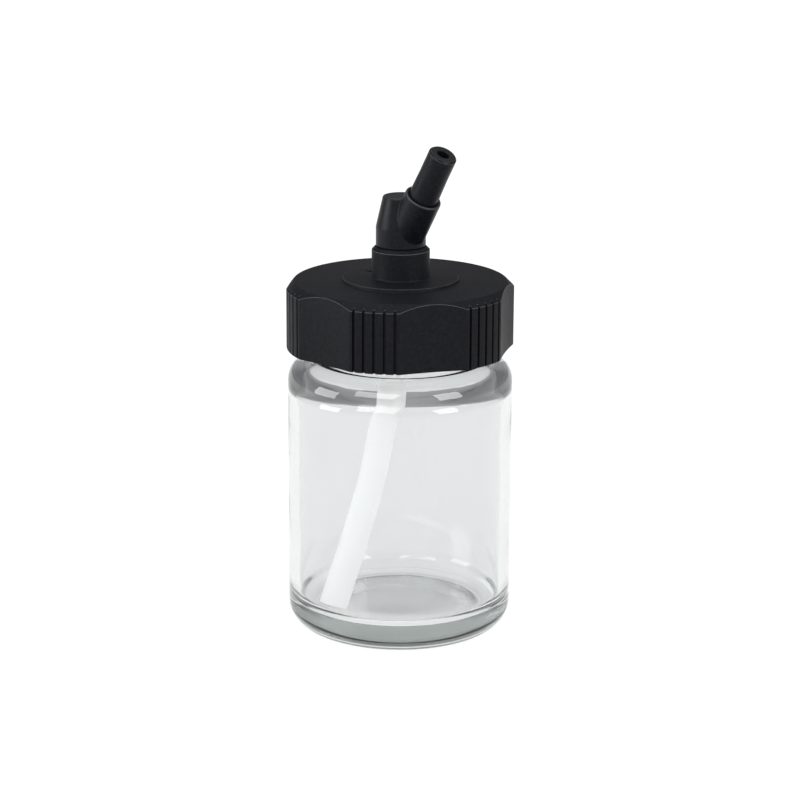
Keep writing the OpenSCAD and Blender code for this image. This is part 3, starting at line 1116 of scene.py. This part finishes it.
class PAINTJAR_OT_tube(Operator):
    """Build the milky dip tube, with a bend, one slow curve and square ends"""

    bl_idname = "paintjar.tube"
    bl_label = "Dip Tube"

    def execute(self, context):
        tube = context.scene.paint_jar_tube
        stations = tube_stations(tube)
        columns = []
        for turn in round_angles(tube.sides):
            outside = tube_skin(stations, tube.radius / MM, turn, TUBE_CUT)
            bore = tube_skin(stations, tube.bore / MM, turn, -TUBE_CUT)
            columns.append(outside + bore[::-1])
        piece = skin("dip_tube_hose", columns, True)
        piece.data.transform(Matrix.Rotation(tube.turn, 4, "Z"))
        hand_over(piece, milky_plastic(tube.shade), "stem", "dip_tube", sharp=60)
        return {"FINISHED"}


# ---------------------------------------------------------------- the stage

def softbox(name, place, aim, size, power, shade=(1.0, 1.0, 1.0)):
    """A flat light that faces a point."""
    data = bpy.data.lights.new(name, "AREA")
    data.shape = "RECTANGLE"
    data.size, data.size_y = size
    data.energy = power
    data.color = shade
    lamp = bpy.data.objects.new(name, data)
    lamp.location = place
    lamp.rotation_mode = "QUATERNION"
    lamp.rotation_quaternion = (Vector(aim) - Vector(place)).to_track_quat("-Z", "Y")
    lamp.visible_camera = False
    bpy.context.scene.collection.objects.link(lamp)


def make_world():
    """Soft room light: a grey horizon, darker walls and a bright ceiling."""
    world = bpy.data.worlds.new("Studio Room")
    bpy.context.scene.world = world
    s = Shader(world)
    place = s.add("ShaderNodeTexCoord", out="Generated")
    up = s.add("ShaderNodeSeparateXYZ", {}, {0: place}, out=2)
    shade = s.add("ShaderNodeValToRGB", {"stops": [
        (0.0, (0.42, 0.42, 0.425, 1.0)), (0.10, (0.36, 0.36, 0.365, 1.0)),
        (0.20, (0.18, 0.18, 0.185, 1.0)), (0.50, (0.20, 0.20, 0.205, 1.0)),
        (0.70, (1.05, 1.05, 1.06, 1.0)), (1.0, (1.25, 1.25, 1.26, 1.0)),
    ]}, {0: up})
    glow = s.add("ShaderNodeBackground", {}, {"Color": shade, "Strength": 1.0})
    s.add("ShaderNodeOutputWorld", {}, {"Surface": glow})


def make_camera(stage):
    """The camera, which circles the middle of the jar at a fixed distance."""
    data = bpy.data.cameras.new("Camera")
    data.sensor_width = 36.0
    data.lens = data.sensor_width / 2 / math.tan(stage.view / 2)
    data.clip_start = 0.01
    data.clip_end = 20.0
    camera = bpy.data.objects.new("Camera", data)
    e = stage.elevation
    place = Vector((0, -stage.distance * math.cos(e), stage.middle + stage.distance * math.sin(e)))
    look = Vector((0, 0, stage.aim)) - place
    roll = Matrix.Rotation(stage.roll, 3, "Z").to_quaternion()
    camera.location = place
    camera.rotation_mode = "QUATERNION"
    camera.rotation_quaternion = look.to_track_quat("-Z", "Y") @ roll
    bpy.context.scene.collection.objects.link(camera)
    bpy.context.scene.camera = camera


class PAINTJAR_OT_stage(Operator):
    """Set up the pale floor, the soft lights and the camera"""

    bl_idname = "paintjar.stage"
    bl_label = "Stage"

    def execute(self, context):
        stage = context.scene.paint_jar_stage
        context.scene.view_settings.view_transform = "Standard"
        make_world()
        radius = stage.floor_radius / MM
        outline = plain_outline([(radius * k / 8, 0.0) for k in range(9)])
        floor = lathe("floor", outline, round_angles(64), False)
        floor.data.transform(Matrix.Scale(MM, 4))
        floor.data.materials.append(floor_paper(stage.floor_shade, stage.floor_glow))
        middle = (0, 0, stage.middle)
        softbox("left_light", (-1.0, -0.15, 0.22), middle, (0.5, 0.6), 6.5, (0.95, 0.97, 1.0))
        softbox("front_light", (-0.45, -0.85, 0.85), middle, (0.9, 0.6), 10.0)
        softbox("right_light", (0.8, -0.6, 0.5), middle, (0.5, 0.6), 7.0)
        make_camera(stage)
        return {"FINISHED"}


# ---------------------------------------------------------------- panel and registration

OPERATORS = (
    PAINTJAR_OT_stage, PAINTJAR_OT_glass, PAINTJAR_OT_cap, PAINTJAR_OT_liner,
    PAINTJAR_OT_elbow, PAINTJAR_OT_tip, PAINTJAR_OT_ring, PAINTJAR_OT_tube,
)

SETTINGS = {
    "paint_jar": JarSettings,
    "paint_jar_cap": CapSettings,
    "paint_jar_stem": StemSettings,
    "paint_jar_tube": TubeSettings,
    "paint_jar_stage": StageSettings,
}


class VIEW3D_PT_paint_jar(Panel):
    """Lists the steps that build the paint jar"""

    bl_label = "Paint Jar"
    bl_space_type = "VIEW_3D"
    bl_region_type = "UI"
    bl_category = "Paint Jar"

    def draw(self, context):
        for operator in OPERATORS:
            self.layout.operator(operator.bl_idname)


def register():
    """Registers the settings, the operators and the panel."""
    for name, group in SETTINGS.items():
        bpy.utils.register_class(group)
        setattr(bpy.types.Scene, name, PointerProperty(type=group))
    for operator in OPERATORS:
        bpy.utils.register_class(operator)
    bpy.utils.register_class(VIEW3D_PT_paint_jar)


def unregister():
    """Removes what register added."""
    bpy.utils.unregister_class(VIEW3D_PT_paint_jar)
    for operator in reversed(OPERATORS):
        bpy.utils.unregister_class(operator)
    for name, group in reversed(SETTINGS.items()):
        delattr(bpy.types.Scene, name)
        bpy.utils.unregister_class(group)


def main():
    """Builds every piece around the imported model."""
    register()
    for operator in OPERATORS:
        group, name = operator.bl_idname.split(".")
        getattr(getattr(bpy.ops, group), name)()


if __name__ == "__main__":
    main()
